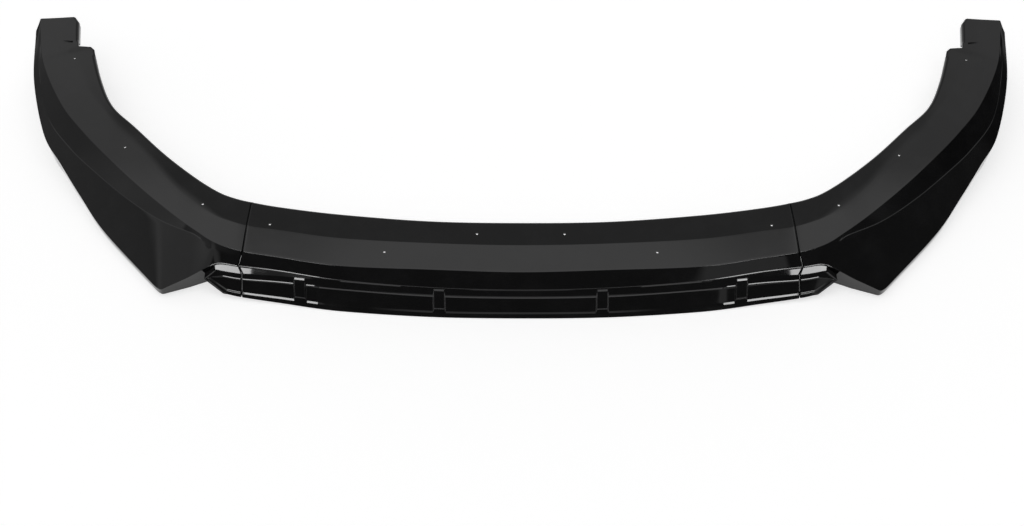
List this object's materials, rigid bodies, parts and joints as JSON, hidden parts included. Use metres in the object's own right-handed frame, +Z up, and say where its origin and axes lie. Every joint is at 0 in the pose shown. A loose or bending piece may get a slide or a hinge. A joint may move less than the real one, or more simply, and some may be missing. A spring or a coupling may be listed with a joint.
{
  "type": "front splitter lip",
  "caption": "Gloss black front bumper splitter lip: a ridged centre moulding with a ribbed blade and two swept wings, screwed together at angled seams.",
  "frame": {"origin": "middle of the lip's box in plan, on the ground under the blade's foot", "axes": "+X across the car, the front faces -Y, +Z is up"},
  "size_m": [1.794, 0.6018, 0.0869],
  "materials": {
    "gloss_black": "polished black moulding",
    "zinc_steel": "bright zinc plate"
  },
  "bodies": {
    "root": {"centre_section": "gloss_black", "left_wing": "gloss_black", "right_wing": "gloss_black", "joint_screws": "zinc_steel"}
  },
  "joints": []
}
